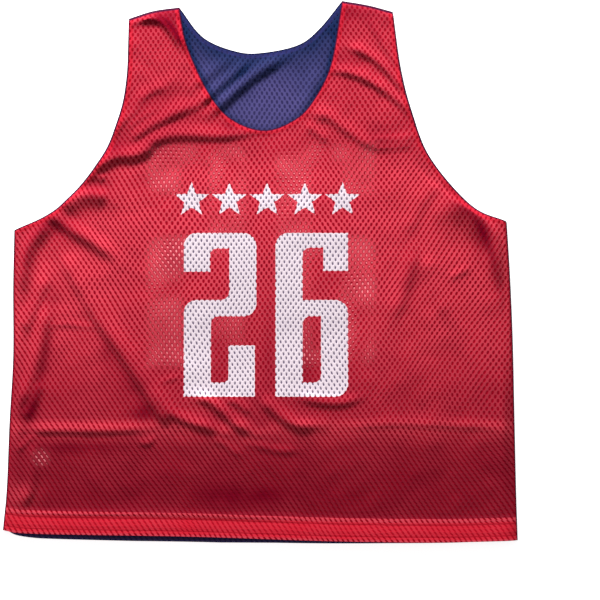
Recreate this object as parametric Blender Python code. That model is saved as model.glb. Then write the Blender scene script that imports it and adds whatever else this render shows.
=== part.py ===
"""A reversible mesh training bib, lying flat on a surface with its front up.

The bib is two sleeveless shells sewn together at the neck and armholes: a red one outside and
a navy one inside, each cut as a front and a back. The four panels lie on each other, and the
two front panels rise together in the creases of the cloth as it was laid out.

Lengths below are in millimetres and are turned to metres where a mesh is made. +X is to the
right as the front is looked at, +Y runs up the bib towards the neck, +Z is up off the surface.
The origin is the middle of the bib's footprint, on that surface.
"""

import bmesh
import bpy
import numpy as np

MM = 0.001

# Cloth and how it is stacked
WALL = 1.0  # thickness of one panel
SEAM_GAP = 0.3  # air between two panels that are sewn or lie on each other
LAYER = WALL + SEAM_GAP  # rise from one panel to the next
ROLL = 5.0  # width over which the red front turns down to the red back at a side or shoulder seam
ROLL_MIDDLE = 2.0  # a mesh line part of the way down that turn
CREASE_FADE = 26.0  # width beyond the turn over which creases die out towards the seam
CREASE_END = 0.35  # part of a crease's height that is left at its two ends
CREASE_TAPER = 0.22  # part of its length over which it sinks to that

# The cut: corners of the front, as it lies
HEM_LEFT = (-334.0, -337.0)
HEM_RIGHT = (334.0, -349.0)
ARMPIT_LEFT = (-320.0, 54.5)
ARMPIT_RIGHT = (319.0, 66.0)
SHOULDER_LEFT = (-172.0, 329.0)
SHOULDER_RIGHT = (171.5, 338.5)
NECK_LEFT = (-106.5, 344.0)
NECK_RIGHT = (105.5, 353.0)

# Edges between those corners: points (x, y) that a smooth curve runs through
SIDE_LEFT = [HEM_LEFT, (-329.0, -280.0), (-325.5, -195.0), (-321.0, -110.0), (-321.5, -20.0), ARMPIT_LEFT]
SIDE_RIGHT = [HEM_RIGHT, (331.5, -283.0), (329.0, -195.0), (326.5, -90.0), (323.0, -6.5), ARMPIT_RIGHT]
ARMHOLE_LEFT = [ARMPIT_LEFT, (-264.5, 83.0), (-210.0, 142.5), (-185.0, 197.5), (-174.0, 250.0), SHOULDER_LEFT]
ARMHOLE_RIGHT = [ARMPIT_RIGHT, (271.5, 85.5), (219.5, 147.5), (196.0, 205.0), (181.0, 262.0), SHOULDER_RIGHT]
SHOULDER_SEAM_LEFT = [SHOULDER_LEFT, (-140.5, 338.5), NECK_LEFT]
SHOULDER_SEAM_RIGHT = [NECK_RIGHT, (140.0, 346.5), SHOULDER_RIGHT]
NECK_FRONT = [
    NECK_LEFT, (-96.5, 294.5), (-68.0, 232.0), (-38.5, 197.5), (5.0, 182.5),
    (47.5, 200.0), (73.0, 227.0), (92.5, 272.0), NECK_RIGHT,
]
NECK_BACK = [
    NECK_LEFT, (-75.5, 304.5), (-31.0, 285.5), (5.0, 283.0), (50.5, 294.5), (78.0, 317.0), NECK_RIGHT,
]
HEM_FRONT = [HEM_LEFT, (-290.0, -342.0), (-91.0, -344.5), (88.0, -350.0), (233.0, -351.5), HEM_RIGHT]

# How far the back shows past the front, along the hem and along each armhole:
# part of the way along the edge, then distance
BACK_HEM_DROP = [(0.0, 0.0), (0.08, 1.0), (0.2, 4.0), (0.4, 4.5), (0.52, 2.0), (0.8, 1.5), (1.0, 0.0)]
BACK_ARMHOLE_STEP = [(0.0, 0.0), (0.3, 0.8), (0.7, 1.4), (1.0, 0.0)]
OUT_LEFT = (-0.9, 0.44)  # the way out of the cloth at the left armhole
OUT_RIGHT = (0.9, 0.44)

# Where the mesh of a panel changes from chest to strap: part of the way along an edge from its
# first point, at the armholes and on each side of the neck
FRONT_SPLIT = {"armhole": 0.72, "neck_left": 0.30, "neck_right": 0.70}
BACK_SPLIT = {"armhole": 0.86, "neck_left": 0.24, "neck_right": 0.76}

# Mesh cells of a panel: across a strap and the neck, and up the skirt, the chest and a strap
FRONT_CELLS = {"strap": 11, "neck": 8, "skirt_rows": 20, "chest_rows": 9, "strap_rows": 6}
BACK_CELLS = {"strap": 4, "neck": 8, "skirt_rows": 5, "chest_rows": 9, "strap_rows": 3}
STRAP_SHARE = 0.367  # part of the hem that lies below each strap; the rest is below the neck
STRAP_WIDTH = 110.0  # of the strap where it starts
STRAP_HEIGHT = 110.0  # from there to the shoulder seam

# The creases of the front. Each is a ridge over a curve through three points, start, middle and
# end, with a breadth on its left and on its right as it is walked: a short breadth is the steep side.
CREASE_COLUMNS = ("name", "start", "middle", "end", "height", "left", "right")
CREASES = [
    ("chest sweep, left", (-228, 108), (-177, 154), (-116, 171), 7.0, 26, 14),
    ("chest sweep, middle", (-131, 169), (-47, 178), (43, 177), 5.0, 20, 14),
    ("strap pull, left", (-183, 197), (-138, 228), (-87, 246), 4.0, 20, 14),
    ("neck pull, left", (-150, 180), (-108, 203), (-70, 219), 4.0, 16, 12),
    ("arm arch, left outer", (-304, -10), (-296, 40), (-264, 74), 6.5, 20, 15),
    ("arm arch, left inner", (-264, 74), (-229, 44), (-194, 8), 6.5, 28, 15),
    ("long diagonal, left", (-240, 0), (-186, -94), (-131, -200), 8.0, 34, 18),
    ("waist ridge, left", (-306, -204), (-222, -203), (-131, -200), 10.0, 40, 16),
    ("waist wave, first", (-146, -142), (-103, -172), (-58, -208), 6.5, 17, 15),
    ("waist wave, second", (-84, -163), (-43, -187), (-4, -224), 6.5, 17, 15),
    ("waist wave, third", (1, -163), (33, -182), (78, -212), 6.5, 17, 15),
    ("waist wave, fourth", (66, -160), (110, -178), (152, -208), 6.0, 18, 15),
    ("waist ridge, right", (152, -196), (233, -190), (306, -202), 7.0, 36, 18),
    ("strap pull, right upper", (113, 289), (152, 266), (187, 224), 4.5, 18, 14),
    ("strap pull, right lower", (92, 255), (131, 246), (183, 212), 4.0, 18, 14),
    ("neck pull, right", (56, 201), (109, 185), (155, 164), 4.5, 20, 14),
    ("arm fold, right", (176, -20), (200, 52), (234, 120), 8.0, 30, 18),
    ("arm arch, right inner", (236, 104), (270, 80), (300, 48), 6.5, 24, 16),
    ("arm arch, right outer", (300, 48), (308, 13), (309, -30), 6.5, 12, 20),
    ("side pleat, right", (196, -40), (222, -92), (252, -140), 5.0, 24, 18),
]
LOFT = 2.0  # how far the middle of the front floats above the back between creases
LOFT_REACH = 150.0  # distance from the seams over which it rises to that

RED = (0.55, 0.035, 0.055, 1.0)
NAVY = (0.035, 0.035, 0.14, 1.0)


def smooth_curve(points, steps=24):
    """A Catmull-Rom curve through the points, as dense (x, y) rows, its ends mirrored."""
    p = np.array(points, float)
    p = np.vstack([2 * p[0] - p[1], p, 2 * p[-1] - p[-2]])
    t = np.linspace(0, 1, steps, endpoint=False)[:, None]
    spans = []
    for a, b, c, d in zip(p[:-3], p[1:-2], p[2:-1], p[3:]):
        cubic = (2 * b + (c - a) * t + (2 * a - 5 * b + 4 * c - d) * t**2 + (3 * b - a - 3 * c + d) * t**3) / 2
        spans.append(cubic)
    return np.vstack(spans + [p[-2:-1]])


def along(curve, parts):
    """Points of a dense curve at these parts of its length, each from 0 to 1."""
    length = np.concatenate([[0.0], np.cumsum(np.linalg.norm(np.diff(curve, axis=0), axis=1))])
    where = np.array(parts) * length[-1]
    return np.column_stack([np.interp(where, length, curve[:, i]) for i in (0, 1)])


def fill(bottom, top, left, right):
    """A grid of points between four edges that meet at corners (a Coons patch): the two straight
    blends, one across and one up, less the blend of the corners that both of them hold."""
    u = np.linspace(0, 1, len(bottom))[None, :, None]
    v = np.linspace(0, 1, len(left))[:, None, None]
    across = (1 - u) * left[:, None] + u * right[:, None]
    up = (1 - v) * bottom[None] + v * top[None]
    corners = (1 - v) * ((1 - u) * bottom[0] + u * bottom[-1]) + v * ((1 - u) * top[0] + u * top[-1])
    return across + up - corners


def seam_lines(count, span):
    """Parts of an edge for `count` even cells, with two more lines close to its start."""
    return np.concatenate([[0.0, ROLL_MIDDLE / span, ROLL / span], np.linspace(ROLL / span, 1, count + 1)[1:]])


def stepped(edge, steps, direction):
    """An edge moved along a direction by a distance that changes along it, as a table says."""
    parts = np.linspace(0, 1, len(edge))
    distance = np.interp(parts, *zip(*steps))
    return edge + distance[:, None] * np.array(direction)


def panel_points(neck, split, cells, is_back):
    """The flat grid of one panel, as four blocks of points that share their edges: the skirt
    from hem to armpits, the chest up to where the neck parts it, and the two straps."""
    side_left, side_right = smooth_curve(SIDE_LEFT), smooth_curve(SIDE_RIGHT)
    arm_left, arm_right = smooth_curve(ARMHOLE_LEFT), smooth_curve(ARMHOLE_RIGHT)
    hem, neck_edge = smooth_curve(HEM_FRONT), smooth_curve(neck)
    if is_back:
        hem = stepped(hem, BACK_HEM_DROP, (0, -1))
        arm_left = stepped(arm_left, BACK_ARMHOLE_STEP, OUT_LEFT)
        arm_right = stepped(arm_right, BACK_ARMHOLE_STEP, OUT_RIGHT)

    strap = seam_lines(cells["strap"], STRAP_SHARE * (HEM_RIGHT[0] - HEM_LEFT[0])) * STRAP_SHARE
    middle = np.linspace(STRAP_SHARE, 1 - STRAP_SHARE, cells["neck"] + 1)[1:-1]
    columns = np.concatenate([strap, middle, (1 - strap)[::-1]])
    strap_columns = seam_lines(cells["strap"], STRAP_WIDTH)

    rows = np.linspace(0, 1, cells["skirt_rows"] + 1)
    hem_row = along(hem, columns)
    armpit_row = along(np.array([ARMPIT_LEFT, ARMPIT_RIGHT]), columns)
    skirt = fill(hem_row, armpit_row, along(side_left, rows), along(side_right, rows))

    at = split["armhole"]
    rows = np.linspace(0, at, cells["chest_rows"] + 1)
    chest_left, chest_right = along(arm_left, rows), along(arm_right, rows)
    neck_part = np.linspace(split["neck_left"], split["neck_right"], cells["neck"] + 1)
    neck_row = along(neck_edge, neck_part)
    yoke_left = along(np.array([chest_left[-1], neck_row[0]]), strap_columns)
    yoke_right = along(np.array([chest_right[-1], neck_row[-1]]), strap_columns)[::-1]
    yoke = np.vstack([yoke_left[:-1], neck_row, yoke_right[1:]])
    chest = fill(armpit_row, yoke, chest_left, chest_right)

    rows = 1 - seam_lines(cells["strap_rows"], STRAP_HEIGHT)[::-1]
    rows_up = at + (1 - at) * rows
    shoulder_left = along(smooth_curve(SHOULDER_SEAM_LEFT), strap_columns)
    shoulder_right = along(smooth_curve(SHOULDER_SEAM_RIGHT), 1 - strap_columns[::-1])
    neck_left = along(neck_edge, split["neck_left"] * (1 - rows))
    neck_right = along(neck_edge, split["neck_right"] + (1 - split["neck_right"]) * rows)
    strap_left = fill(yoke_left, shoulder_left, along(arm_left, rows_up), neck_left)
    strap_right = fill(yoke_right, shoulder_right, neck_right, along(arm_right, rows_up))
    return [skirt, chest, strap_left, strap_right]


def distance_to(points, curve):
    """Distance of each point to a dense curve, how far along the curve its nearest place is, in
    steps of the curve, and its side of it: positive is to the left as the curve is walked."""
    start, step = curve[:-1], np.diff(curve, axis=0)
    rel = points[:, None] - start[None]
    part = np.clip((rel * step).sum(-1) / (step * step).sum(-1), 0, 1)
    away = rel - part[..., None] * step
    distance = np.linalg.norm(away, axis=-1)
    nearest = distance.argmin(1)
    row = np.arange(len(points))
    chosen = step[nearest]
    side = chosen[:, 0] * away[row, nearest, 1] - chosen[:, 1] * away[row, nearest, 0]
    return distance[row, nearest], nearest + part[row, nearest], np.sign(side)


def ease(x):
    """A smooth rise from 0 at x = 0 to 1 at x = 1."""
    x = np.clip(x, 0, 1)
    return x * x * (3 - 2 * x)


def crease_height(points, crease):
    """How high one crease lifts the cloth: a bell across it, whose two sides may be unlike, that
    fades out towards both ends."""
    row = dict(zip(CREASE_COLUMNS, crease))
    a, b, c = (np.array(row[k], float) for k in ("start", "middle", "end"))
    t = np.linspace(0, 1, 17)[:, None]
    pull = 2 * b - (a + c) / 2
    ridge = (1 - t) ** 2 * a + 2 * t * (1 - t) * pull + t**2 * c
    distance, place, side = distance_to(points, ridge)
    breadth = np.where(side > 0, row["left"], row["right"])
    place = place / (len(ridge) - 1)
    fade = ease(place / CREASE_TAPER) * ease((1 - place) / CREASE_TAPER)
    strength = CREASE_END + (1 - CREASE_END) * fade
    return row["height"] * strength * np.exp(-((distance / breadth) ** 2))


def front_rise(points, from_seam):
    """How far the front panels stand above their lowest place, over each point."""
    from_neck = distance_to(points, smooth_curve(NECK_FRONT))[0]
    loft = LOFT * ease(np.minimum(from_seam, from_neck) / LOFT_REACH)
    creases = np.array([crease_height(points, crease) for crease in CREASES])
    # Creases that cross share the cloth, so their heights join softly and don't add up
    together = (creases**2).sum(0) ** 0.5
    return loft + together * ease((from_seam - ROLL) / CREASE_FADE)


def distance_from_seams(points):
    """Distance of each point from the nearest side or shoulder seam."""
    seams = (SIDE_LEFT, SIDE_RIGHT, SHOULDER_SEAM_LEFT, SHOULDER_SEAM_RIGHT)
    return np.min([distance_to(points, smooth_curve(s))[0] for s in seams], axis=0)


def cloth(name, blocks, height, colour, collection, inside=False):
    """One panel: its blocks joined to a surface, lifted to its height, and given its wall by
    pushing a copy of the surface straight up, so that stacked panels never cross."""
    bm = bmesh.new()
    for block in blocks:
        rows, columns = block.shape[:2]
        verts = [[bm.verts.new((x, y, 0)) for x, y in line] for line in block]
        for i in range(rows - 1):
            for j in range(columns - 1):
                bm.faces.new((verts[i][j], verts[i][j + 1], verts[i + 1][j + 1], verts[i + 1][j]))
    bmesh.ops.remove_doubles(bm, verts=bm.verts, dist=0.01)
    points = np.array([v.co[:2] for v in bm.verts])
    from_seam = distance_from_seams(points)
    for vert, z in zip(bm.verts, height(points, from_seam)):
        vert.co.z = z
    if inside:  # the inner shell stops where the outer one starts to turn down to its seam
        bm.verts.index_update()
        turning = [f for f in bm.faces if min(from_seam[v.index] for v in f.verts) < 0.9 * ROLL]
        bmesh.ops.delete(bm, geom=turning, context="FACES")
    bmesh.ops.triangulate(bm, faces=bm.faces, quad_method="FIXED")
    copied = bmesh.ops.extrude_face_region(bm, geom=bm.faces[:], use_keep_orig=True)
    top = [item for item in copied["geom"] if isinstance(item, bmesh.types.BMVert)]
    bmesh.ops.translate(bm, verts=top, vec=(0, 0, WALL))
    bmesh.ops.scale(bm, verts=bm.verts, vec=(MM, MM, MM))
    bmesh.ops.recalc_face_normals(bm, faces=bm.faces)
    mesh = bpy.data.meshes.new(name)
    bm.to_mesh(mesh)
    bm.free()
    mesh.shade_smooth()
    mesh.set_sharp_from_angle(angle=0.7)
    mesh.materials.append(colour)
    panel = bpy.data.objects.new(name, mesh)
    collection.objects.link(panel)
    return panel


def cloth_colour(name, colour):
    """A matt polyester cloth."""
    material = bpy.data.materials.new(name)
    material.use_nodes = True
    surface = material.node_tree.nodes["Principled BSDF"]
    surface.inputs["Base Color"].default_value = colour
    surface.inputs["Roughness"].default_value = 0.6
    surface.inputs["Metallic"].default_value = 0.0
    return material


def lying(layer):
    """The height of a back panel: flat, this many layers up."""
    return lambda points, from_seam: np.full(len(points), layer * LAYER)


def creased(layer, seam_layer):
    """The height of a front panel: its creases, this many layers up, turned down at the side and
    shoulder seams to the layer that it is sewn to."""

    def height(points, from_seam):
        raised = layer * LAYER + front_rise(points, from_seam)
        down = 1 - ease(from_seam / ROLL)
        return raised * (1 - down) + seam_layer * LAYER * down

    return height


def build():
    """Makes the four panels, from the surface up."""
    for old in list(bpy.data.objects):
        bpy.data.objects.remove(old)
    bib = bpy.data.collections.new("training_bib")
    bpy.context.scene.collection.children.link(bib)
    red, navy = cloth_colour("red_mesh", RED), cloth_colour("navy_mesh", NAVY)
    front = panel_points(NECK_FRONT, FRONT_SPLIT, FRONT_CELLS, is_back=False)
    back = panel_points(NECK_BACK, BACK_SPLIT, BACK_CELLS, is_back=True)
    cloth("back_red_panel", back, lying(0), red, bib)
    cloth("back_navy_panel", back, lying(1), navy, bib, inside=True)
    cloth("front_navy_panel", front, creased(2, 2), navy, bib, inside=True)
    cloth("front_red_panel", front, creased(3, 1), red, bib)


build()
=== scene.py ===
# %% [markdown]
# # A reversible mesh training bib, laid out flat
#
# This lesson makes the visible cloth of a training bib that lies on a table with its front up.
# The bib is two sleeveless shells sewn together at the neck and the armholes, a red one outside
# and a navy one inside, so four panels of knitted mesh lie on each other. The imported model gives
# their size and place. Here each panel becomes a thin sheet with creases, holes, hems and print.

import bpy
import numpy as np
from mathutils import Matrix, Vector


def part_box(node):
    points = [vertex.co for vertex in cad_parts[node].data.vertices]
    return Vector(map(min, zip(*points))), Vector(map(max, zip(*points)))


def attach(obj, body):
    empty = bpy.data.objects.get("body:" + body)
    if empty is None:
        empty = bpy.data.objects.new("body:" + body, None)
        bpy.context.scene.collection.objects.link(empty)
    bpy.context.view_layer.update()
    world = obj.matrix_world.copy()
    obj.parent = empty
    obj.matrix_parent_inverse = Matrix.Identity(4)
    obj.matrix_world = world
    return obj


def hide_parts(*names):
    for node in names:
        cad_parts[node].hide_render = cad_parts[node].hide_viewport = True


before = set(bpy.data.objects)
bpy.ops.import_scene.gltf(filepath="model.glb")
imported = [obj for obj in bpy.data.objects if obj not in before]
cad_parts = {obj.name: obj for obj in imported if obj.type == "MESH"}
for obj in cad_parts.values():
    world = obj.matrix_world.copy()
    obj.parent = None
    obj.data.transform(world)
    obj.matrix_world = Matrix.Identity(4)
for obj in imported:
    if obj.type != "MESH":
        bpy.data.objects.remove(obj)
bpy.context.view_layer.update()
MM = 0.001

# %% [markdown]
# ## Camera
#
# The bib was photographed from straight above. A long lens keeps its edges free of perspective,
# and the camera's height follows from the width that the picture takes in. Two numbers tie the
# picture to the model: how much cloth one pixel shows, and the pixel where the origin is.

# %% Camera
PICTURE_PX = 600  # along each side
PX = 1.3 * MM  # of cloth
ORIGIN_PX = (261.0, 272.35)  # from the left and from the top
LENS, SENSOR = 85.0, 36.0  # mm
CLOTH_TOP = 4.5 * MM  # the height that is drawn at that scale


def placed(name, data):
    """A new object of this data, linked into the scene."""
    made = bpy.data.objects.new(name, data)
    bpy.context.scene.collection.objects.link(made)
    return made


camera_data = bpy.data.cameras.new("camera")
camera_data.lens = LENS
camera_data.sensor_width = SENSOR
camera = placed("camera", camera_data)
bpy.context.scene.camera = camera
camera_height = CLOTH_TOP + PICTURE_PX * PX * LENS / SENSOR
camera.location = (
    (PICTURE_PX / 2 - ORIGIN_PX[0]) * PX,
    (ORIGIN_PX[1] - PICTURE_PX / 2) * PX,
    camera_height,
)
print("the camera stands", round(camera_height, 3), "m above the table")

# %% [markdown]
# ## Table and light
#
# Creases only show when the light comes in low from one side. Here a broad lamp beyond the neck
# does that: it lights every slope that faces the neck and leaves the slopes that face the hem
# dark. It stands near enough that the hem gets less of it. A pale world fills the shadows, and
# the table glows a little, so that it stays white.

# %% Table and light
TABLE_SIDE = 6.0
TABLE_Z = -0.0002  # a hair below the cloth
TABLE_COLOUR = (0.9, 0.9, 0.9, 1)
TABLE_GLOW = 0.75
LAMP_AT = (-0.45, 2.25, 0.92)
LAMP_AIM = (0.0, -0.05, 0.0)
LAMP_SIZE = (1.1, 0.5)
LAMP_WATTS = 148.0
FILL = 0.30


def principled(name, values):
    """A new material, with its tree and its Principled shader, whose sockets get these values."""
    material = bpy.data.materials.new(name)
    material.use_nodes = True
    surface = material.node_tree.nodes["Principled BSDF"]
    for socket, value in values.items():
        surface.inputs[socket].default_value = value
    return material, material.node_tree, surface


def link_mesh(name, points, faces):
    """A mesh object from rows of points and rows of corners."""
    mesh = bpy.data.meshes.new(name)
    mesh.from_pydata(points, [], faces)
    return placed(name, mesh)


half = TABLE_SIDE / 2
table = link_mesh(
    "table",
    [(-half, -half, TABLE_Z), (half, -half, TABLE_Z), (half, half, TABLE_Z), (-half, half, TABLE_Z)],
    [(0, 1, 2, 3)],
)
white = {
    "Base Color": TABLE_COLOUR,
    "Roughness": 0.9,
    "Emission Color": (1, 1, 1, 1),
    "Emission Strength": TABLE_GLOW,
}
table_material, _, _ = principled("pale_table", white)
table.data.materials.append(table_material)

lamp_data = bpy.data.lights.new("lamp", "AREA")
lamp_data.shape = "RECTANGLE"
lamp_data.size, lamp_data.size_y = LAMP_SIZE
lamp_data.energy = LAMP_WATTS
lamp = placed("lamp", lamp_data)
lamp.location = LAMP_AT
aim = np.array(LAMP_AIM) - np.array(LAMP_AT)
lamp.rotation_mode = "QUATERNION"
lamp.rotation_quaternion = Vector(aim).to_track_quat("-Z", "Y")

world = bpy.data.worlds.new("soft_white")
world.use_nodes = True
world.node_tree.nodes["Background"].inputs["Color"].default_value = (1, 1, 1, 1)
world.node_tree.nodes["Background"].inputs["Strength"].default_value = FILL
bpy.context.scene.world = world
bpy.context.scene.view_settings.view_transform = "Standard"

# %% [markdown]
# ## Drawing the cut
#
# A pattern maker draws each edge of a panel as a smooth curve through a few points. The points are
# those of the solids, in millimetres, let out by one to three millimetres for the rolled edges.
# The curve runs through every point that it is given, so an outline needs few of them.

# %% Curves
def smooth_curve(points, steps=32):
    """Between two points, a cubic whose slope at each of them is half of the way from the point
    before it to the point after it. At an end, the next point mirrored over it stands in."""
    p = np.array(points, float)
    p = np.vstack([2 * p[0] - p[1], p, 2 * p[-1] - p[-2]])
    t = np.linspace(0, 1, steps, endpoint=False)[:, None]
    a, b, c, d = (p[i : len(p) - 3 + i, None] for i in range(4))
    cubic = (2 * b + (c - a) * t + (2 * a - 5 * b + 4 * c - d) * t**2 + (3 * b - a - 3 * c + d) * t**3) / 2
    return np.vstack([cubic.reshape(-1, 2), p[-2:-1]])


def along(curve, parts):
    """Points at these parts of a curve's length, from 0 to 1, by straight steps between its own."""
    length = np.concatenate([[0.0], np.cumsum(np.linalg.norm(np.diff(curve, axis=0), axis=1))])
    where = np.asarray(parts) * length[-1]
    return np.column_stack([np.interp(where, length, curve[:, i]) for i in (0, 1)])


HEM_LEFT, HEM_RIGHT = (-336.0, -335.5), (334.0, -348.5)
ARMPIT_LEFT, ARMPIT_RIGHT = (-321.3, 54.7), (319.7, 66.3)
SHOULDER_LEFT, SHOULDER_RIGHT = (-172.0, 330.2), (171.5, 339.2)
NECK_LEFT, NECK_RIGHT = (-106.5, 345.0), (105.5, 353.5)

SIDE_LEFT = smooth_curve(
    [HEM_LEFT, (-331.0, -280.0), (-327.5, -195.0), (-322.8, -110.0), (-322.8, -20.0), ARMPIT_LEFT]
)
SIDE_RIGHT = smooth_curve(
    [HEM_RIGHT, (332.0, -283.0), (330.0, -195.0), (327.7, -90.0), (324.2, -6.5), ARMPIT_RIGHT]
)
ARMHOLE_LEFT = smooth_curve(
    [ARMPIT_LEFT, (-264.5, 83.0), (-210.4, 142.8), (-185.6, 197.7), (-174.4, 250.0), SHOULDER_LEFT]
)
ARMHOLE_RIGHT = smooth_curve(
    [ARMPIT_RIGHT, (272.8, 87.0), (219.9, 147.8), (196.3, 205.2), (181.5, 262.2), SHOULDER_RIGHT]
)
SHOULDER_SEAM_LEFT = smooth_curve([SHOULDER_LEFT, (-140.5, 340.2), NECK_LEFT])
SHOULDER_SEAM_RIGHT = smooth_curve([NECK_RIGHT, (140.0, 347.6), SHOULDER_RIGHT])
NECK_FRONT = smooth_curve(
    [
        NECK_LEFT, (-95.9, 294.7), (-67.3, 232.5), (-37.5, 198.8), (5.0, 184.6),
        (46.9, 200.7), (71.0, 228.5), (91.2, 272.4), NECK_RIGHT,
    ]
)
NECK_BACK = smooth_curve(
    [NECK_LEFT, (-74.8, 305.6), (-30.6, 287.2), (5.0, 286.3), (49.4, 296.6), (76.8, 318.1), NECK_RIGHT]
)
HEM_FRONT = smooth_curve(
    [HEM_LEFT, (-290.0, -339.4), (-91.0, -342.8), (88.0, -348.6), (233.0, -350.5), HEM_RIGHT]
)
print("chest from armpit to armpit:", ARMPIT_RIGHT[0] - ARMPIT_LEFT[0], "mm")

# %% [markdown]
# ## Letting an under layer show
#
# The layers of a real bib never match exactly. The back shows below the hem and beside the
# armholes, and the navy shell rolls out a little past the red one. An edge is moved sideways by
# a distance that changes along it.

# %% Edges that show past each other
BACK_HEM_DROP = [  # (part of the hem from the left, mm)
    (0.0, 0.3), (0.05, 1.0), (0.10, 3.4), (0.15, 5.2), (0.2, 7.0),
    (0.33, 8.6), (0.44, 8.2), (0.52, 6.0), (0.7, 3.0), (1.0, 0.5),
]
# (part of the armhole from the armpit, mm)
BACK_ARMHOLE_STEP = [(0.0, 0.0), (0.3, 0.8), (0.7, 1.4), (1.0, 0.0)]
NAVY_ARMHOLE_STEP = [(0.0, 0.0), (0.2, 0.7), (0.8, 0.9), (1.0, 0.0)]
OUT_LEFT, OUT_RIGHT = (-0.9, 0.44), (0.9, 0.44)  # the way out of the cloth at each armhole


def stepped(edge, steps, direction):
    """Each point of an edge moved along one direction, by the distance that a table of (part of
    the edge, distance) gives there."""
    distance = np.interp(np.linspace(0, 1, len(edge)), *zip(*steps))
    return edge + distance[:, None] * np.array(direction)


# %% [markdown]
# ## From four edges to a surface
#
# A sheet of cloth is a function of two parameters: across, u, and up, v. When its four edges are
# curves, a blend of them fills it. A whole panel isn't four-sided, because the neck and armholes
# bite into it, so it is four patches that share their edges: skirt, chest and two straps.

# %% Patches from four edges
def fill(bottom, top, left, right):
    """(1 - u) left + u right + (1 - v) bottom + v top, less the blend of the four corners that
    those two sums hold twice."""
    u = np.linspace(0, 1, len(bottom))[None, :, None]
    v = np.linspace(0, 1, len(left))[:, None, None]
    across = (1 - u) * left[:, None] + u * right[:, None]
    up = (1 - v) * bottom[None] + v * top[None]
    corners = (1 - v) * ((1 - u) * bottom[0] + u * bottom[-1]) + v * ((1 - u) * top[0] + u * top[-1])
    return across + up - corners


EDGE_LINES = np.array([0.0, 1.2, 2.6, 4.4, 6.8])  # mm in from an edge, to shape its turned roll


def lines(span, count, start=True, end=True):
    """Parts from 0 to 1 of a length `span` in mm: `count` even cells, with closer lines at either
    end where an edge of the cloth lies."""
    first = EDGE_LINES / span if start else np.zeros(1)
    last = 1 - EDGE_LINES[::-1] / span if end else np.ones(1)
    return np.concatenate([first, np.linspace(first[-1], last[0], count + 1)[1:-1], last])


STRAP_WIDTH, STRAP_HEIGHT = 110.0, 110.0  # mm where the strap starts, and up to its seam
print("eight cells across a strap:", np.round(STRAP_WIDTH * lines(STRAP_WIDTH, 8)).astype(int), "mm")

# %% [markdown]
# ## The patches of a panel
#
# The side seams, armholes, hem and neck are the outer edges of the four patches. Where two
# patches meet they must share every point, so each shared edge is made once and used twice.

# %% Patches of a panel
STRAP_SHARE = 0.367  # part of the hem that lies below each strap; the rest is below the neck
SKIRT_HEIGHT, CHEST_HEIGHT = 400.0, 160.0  # mm
HEM_WIDTH = HEM_RIGHT[0] - HEM_LEFT[0]
# the part of each armhole, and of the neck edge to the left and right, where the straps start
FRONT_SPLIT, BACK_SPLIT = (0.72, 0.30, 0.70), (0.86, 0.24, 0.76)


def panel_patches(neck, armholes, hem, split, cell):
    """The four patches of a panel, as arrays of points (row, column, xy) in mm, with cells of
    about `cell` mm. `split` says where the chest ends and each strap starts."""
    arm_left, arm_right = armholes
    at, neck_from, neck_to = split
    strap_cells = round(STRAP_SHARE * HEM_WIDTH / cell)
    strap_in_hem = STRAP_SHARE * lines(STRAP_SHARE * HEM_WIDTH, strap_cells)
    neck_cells = round((1 - 2 * STRAP_SHARE) * HEM_WIDTH / cell)
    below_neck = np.linspace(STRAP_SHARE, 1 - STRAP_SHARE, neck_cells + 1)
    columns = np.concatenate([strap_in_hem, below_neck[1:-1], 1 - strap_in_hem[::-1]])
    strap_columns = lines(STRAP_WIDTH, strap_cells)

    rows = lines(SKIRT_HEIGHT, round(SKIRT_HEIGHT / cell), end=False)
    armpit_row = along(np.array([ARMPIT_LEFT, ARMPIT_RIGHT]), columns)
    skirt = fill(along(hem, columns), armpit_row, along(SIDE_LEFT, rows), along(SIDE_RIGHT, rows))

    rows = at * lines(CHEST_HEIGHT, round(CHEST_HEIGHT / cell), start=False)
    chest_left, chest_right = along(arm_left, rows), along(arm_right, rows)
    neck_row = along(neck, np.linspace(neck_from, neck_to, neck_cells + 1))
    yoke_left = along(np.array([chest_left[-1], neck_row[0]]), strap_columns)
    yoke_right = along(np.array([neck_row[-1], chest_right[-1]]), 1 - strap_columns[::-1])
    yoke = np.vstack([yoke_left[:-1], neck_row, yoke_right[1:]])
    chest = fill(armpit_row, yoke, chest_left, chest_right)

    rows = lines(STRAP_HEIGHT, round(STRAP_HEIGHT / cell), start=False)
    arm_rows = at + (1 - at) * rows
    neck_rows_left, neck_rows_right = neck_from * (1 - rows), neck_to + (1 - neck_to) * rows
    shoulder_left = along(SHOULDER_SEAM_LEFT, strap_columns)
    shoulder_right = along(SHOULDER_SEAM_RIGHT, 1 - strap_columns[::-1])
    strap_left = fill(yoke_left, shoulder_left, along(arm_left, arm_rows), along(neck, neck_rows_left))
    strap_right = fill(yoke_right, shoulder_right, along(neck, neck_rows_right), along(arm_right, arm_rows))
    return [skirt, chest, strap_left, strap_right]


def joined(patches):
    """One list of points, and the quads of all patches as rows of four indices. Points that agree
    to a thousandth of a millimetre become one, and stay in the order in which they first came."""
    points, quads, used = [], [], 0
    for patch in patches:
        rows, columns = patch.shape[:2]
        index = used + np.arange(rows * columns).reshape(rows, columns)
        corners = (index[:-1, :-1], index[:-1, 1:], index[1:, 1:], index[1:, :-1])
        quads.append(np.stack(corners, -1).reshape(-1, 4))
        points.append(patch.reshape(-1, 2))
        used += rows * columns
    points = np.vstack(points)
    _, first, place = np.unique(np.round(points, 3), axis=0, return_index=True, return_inverse=True)
    order = np.argsort(first)
    return points[first[order]], np.argsort(order)[place.reshape(-1)][np.vstack(quads)]


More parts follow.
